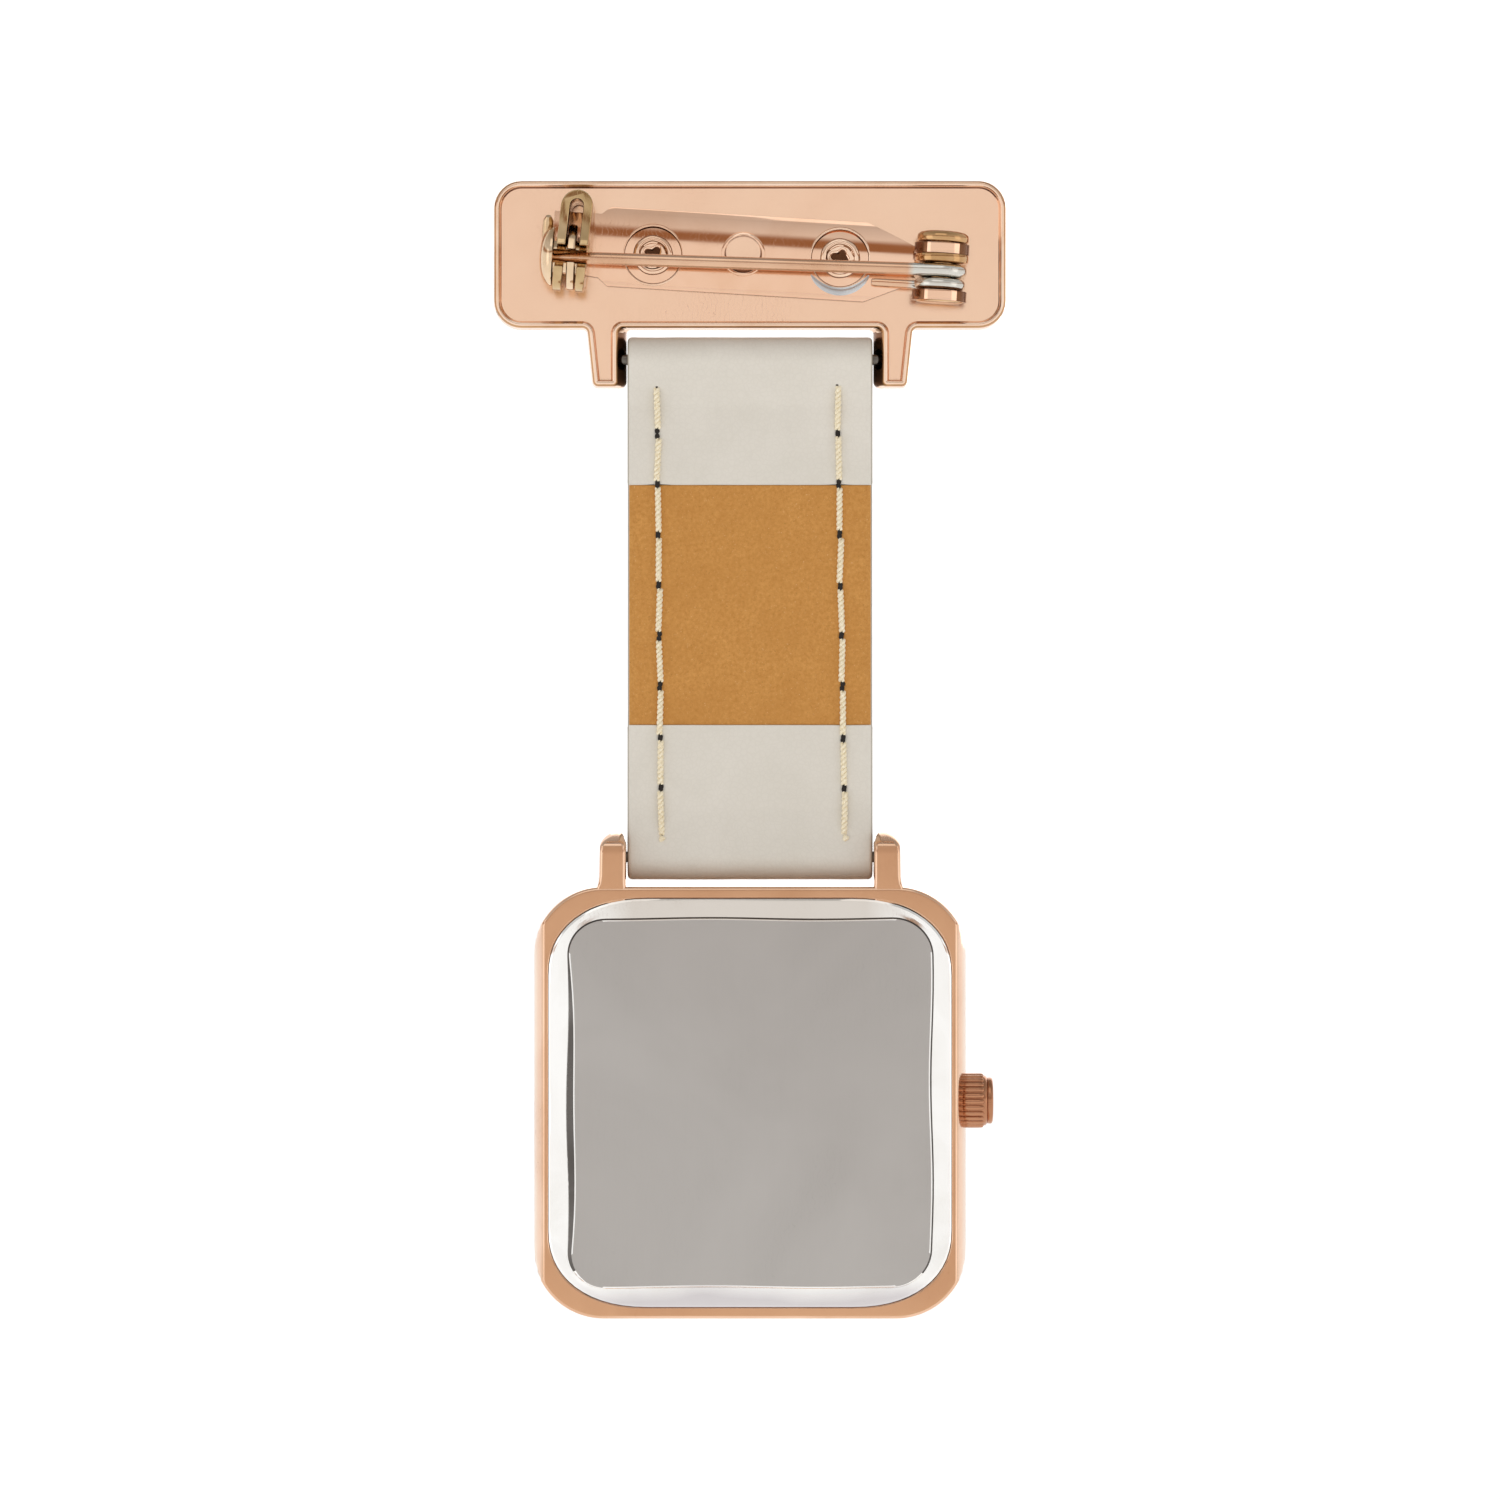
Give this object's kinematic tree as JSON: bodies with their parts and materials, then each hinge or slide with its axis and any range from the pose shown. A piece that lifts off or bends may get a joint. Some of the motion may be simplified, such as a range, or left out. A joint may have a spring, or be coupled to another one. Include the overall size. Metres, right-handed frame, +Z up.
{
  "type": "fob watch",
  "caption": "Square fob watch hung upside down from a bar brooch by a short leather strap, with a safety pin and rotor catch on the back of the brooch.",
  "frame": {"origin": "on the axis of the brooch pin, in the middle of the strap's width", "axes": "+Z up as the watch hangs, +Y out of the brooch's back towards the wearer, dial facing -Y"},
  "size_m": [0.0378, 0.0106, 0.0835],
  "materials": {
    "brooch_metal": "polished rose-gold plate",
    "pin_steel": "bright nickelled pressed steel",
    "rivet_steel": "bright rolled rivets",
    "catch_brass": "pale olive brass, lightly polished",
    "lock_steel": "pale olive brass, polished",
    "wire_steel": "bright spring wire",
    "leather": "pale warm grey smooth leather",
    "lining": "tan nubuck lining",
    "thread": "cream twisted thread",
    "case_metal": "satin rose-gold plate with polished flanks",
    "back_steel": "satin stainless steel",
    "bar_steel": "plain steel",
    "crystal_glass": "clear mineral glass",
    "gasket_rubber": "black seal",
    "dial_paint": "matt pale dial",
    "hand_metal": "rose-gold hands and indices",
    "crown_metal": "copper-toned plate",
    "movement_plastic": "white spacer ring",
    "movement_brass": "stamped brass",
    "movement_steel": "stamped steel",
    "coil_copper": "enamelled copper winding",
    "board_green": "circuit board laminate",
    "chip_black": "moulded chip",
    "battery_steel": "button cell can"
  },
  "bodies": {
    "brooch": {"brooch_plate": "brooch_metal", "pin_base_strip": "pin_steel", "base_strip_rivets": "rivet_steel", "pin_hinge_rivet": "rivet_steel", "pin_spring_tail": "wire_steel", "catch_housing": "catch_brass", "upper_bar_tube": "bar_steel", "upper_bar_spring": "wire_steel"},
    "pin": {"pin_stem": "wire_steel"},
    "lock": {"catch_lock": "lock_steel"},
    "upper_tip_left": {"upper_bar_tip_left": "bar_steel"},
    "upper_tip_right": {"upper_bar_tip_right": "bar_steel"},
    "strap": {"strap_leather": "leather", "strap_lining": "lining", "strap_thread_left": "thread", "strap_thread_right": "thread"},
    "case": {"case_body": "case_metal", "case_back": "back_steel", "case_back_gasket": "gasket_rubber", "crystal": "crystal_glass", "crystal_gasket": "gasket_rubber", "dial": "dial_paint", "dial_indices": "hand_metal", "movement_ring": "movement_plastic", "crown_tube": "movement_steel", "main_plate": "movement_brass", "train_bridge": "movement_steel", "stator": "movement_steel", "coil_core": "movement_steel", "coil_winding": "coil_copper", "battery": "battery_steel", "battery_clip": "movement_steel", "circuit_board": "board_green", "quartz_can": "battery_steel", "chip": "chip_black", "movement_screws": "movement_steel", "yoke": "movement_steel", "lower_bar_tube": "bar_steel", "lower_bar_spring": "wire_steel"},
    "lower_tip_left": {"lower_bar_tip_left": "bar_steel"},
    "lower_tip_right": {"lower_bar_tip_right": "bar_steel"},
    "stem_turning": {"sliding_pinion": "movement_steel"},
    "crown": {"crown": "crown_metal", "crown_gasket": "gasket_rubber", "setting_stem": "movement_steel"},
    "setting_lever": {"setting_lever": "movement_steel"},
    "minute": {"minute_hand": "hand_metal", "cannon_pinion": "movement_steel"},
    "hour": {"hour_hand": "hand_metal", "hour_wheel": "movement_brass"},
    "minute_wheel": {"minute_wheel": "movement_brass"},
    "seconds": {"seconds_hand": "hand_metal", "seconds_wheel": "movement_brass"},
    "third_wheel": {"third_wheel": "movement_brass"},
    "centre_wheel": {"centre_wheel": "movement_brass"},
    "intermediate_wheel": {"intermediate_wheel": "movement_brass"},
    "rotor": {"rotor": "movement_steel"}
  },
  "joints": [
    {"name": "pin_hinge", "type": "hinge", "parent": "brooch", "child": "pin", "pos_m": [-0.01394, -0.00145, -0.00045], "axis": [-0.061, 0, 0.9981], "range_deg": [0, 75]},
    {"name": "lock_turn", "type": "hinge", "parent": "brooch", "child": "lock", "pos_m": [0.013, 0, 0.00042], "axis": [0.9981, 0, 0.061], "range_deg": [0, 120]},
    {"name": "strap_hinge", "type": "hinge", "parent": "brooch", "child": "strap", "pos_m": [0, -0.0044, -0.00677], "axis": [1, 0, 0], "range_deg": [-90, 90]},
    {"name": "case_hinge", "type": "hinge", "parent": "strap", "child": "case", "pos_m": [0, -0.0044, -0.04337], "axis": [1, 0, 0], "range_deg": [-90, 90]},
    {"name": "upper_tip_left_slide", "type": "slide", "parent": "brooch", "child": "upper_tip_left", "axis": [-1, 0, 0], "range_m": [0, 0.0009], "stiffness_N_per_m": 500, "springref_m": -0.001},
    {"name": "upper_tip_right_slide", "type": "slide", "parent": "brooch", "child": "upper_tip_right", "axis": [1, 0, 0], "range_m": [0, 0.0009], "stiffness_N_per_m": 500, "springref_m": -0.001},
    {"name": "lower_tip_left_slide", "type": "slide", "parent": "case", "child": "lower_tip_left", "axis": [-1, 0, 0], "range_m": [0, 0.0009], "stiffness_N_per_m": 500, "springref_m": -0.001},
    {"name": "lower_tip_right_slide", "type": "slide", "parent": "case", "child": "lower_tip_right", "axis": [1, 0, 0], "range_m": [0, 0.0009], "stiffness_N_per_m": 500, "springref_m": -0.001},
    {"name": "crown_turn", "type": "hinge", "parent": "case", "child": "stem_turning", "pos_m": [-0.017, -0.0044, -0.0613], "axis": [-1, 0, 0], "continuous": true},
    {"name": "crown_pull", "type": "slide", "parent": "stem_turning", "child": "crown", "axis": [-1, 0, 0], "range_m": [0, 0.0009]},
    {"name": "setting_lever_turn", "type": "hinge", "parent": "case", "child": "setting_lever", "pos_m": [-0.01035, -0.0044, -0.05917], "axis": [0, 1, 0], "range_deg": [0, 24.2]},
    {"name": "minute_turn", "type": "hinge", "parent": "case", "child": "minute", "pos_m": [0, -0.0044, -0.0613], "axis": [0, 1, 0], "continuous": true},
    {"name": "hour_turn", "type": "hinge", "parent": "case", "child": "hour", "pos_m": [0, -0.0044, -0.0613], "axis": [0, 1, 0], "continuous": true},
    {"name": "minute_wheel_turn", "type": "hinge", "parent": "case", "child": "minute_wheel", "pos_m": [-0.0024, -0.0044, -0.0613], "axis": [0, 1, 0], "continuous": true},
    {"name": "seconds_turn", "type": "hinge", "parent": "case", "child": "seconds", "pos_m": [0, -0.0044, -0.0613], "axis": [0, 1, 0], "continuous": true},
    {"name": "third_wheel_turn", "type": "hinge", "parent": "case", "child": "third_wheel", "pos_m": [-0.00108, -0.0044, -0.05944], "axis": [0, 1, 0], "continuous": true},
    {"name": "centre_wheel_turn", "type": "hinge", "parent": "case", "child": "centre_wheel", "pos_m": [0, -0.0044, -0.0613], "axis": [0, 1, 0], "continuous": true},
    {"name": "intermediate_wheel_turn", "type": "hinge", "parent": "case", "child": "intermediate_wheel", "pos_m": [-0.00077, -0.0044, -0.06341], "axis": [0, 1, 0], "continuous": true},
    {"name": "rotor_turn", "type": "hinge", "parent": "case", "child": "rotor", "pos_m": [-0.00139, -0.0044, -0.06511], "axis": [0, 1, 0], "continuous": true}
  ],
  "couplings": [
    {"joint": "setting_lever_turn", "follows": "crown_pull", "rad_per_m": 465.42},
    {"joint": "hour_turn", "follows": "minute_turn", "ratio": 0.083333},
    {"joint": "minute_wheel_turn", "follows": "minute_turn", "ratio": -0.33333},
    {"joint": "third_wheel_turn", "follows": "seconds_turn", "ratio": -0.13333},
    {"joint": "centre_wheel_turn", "follows": "seconds_turn", "ratio": 0.016667},
    {"joint": "intermediate_wheel_turn", "follows": "seconds_turn", "ratio": -6},
    {"joint": "rotor_turn", "follows": "seconds_turn", "ratio": 30}
  ]
}
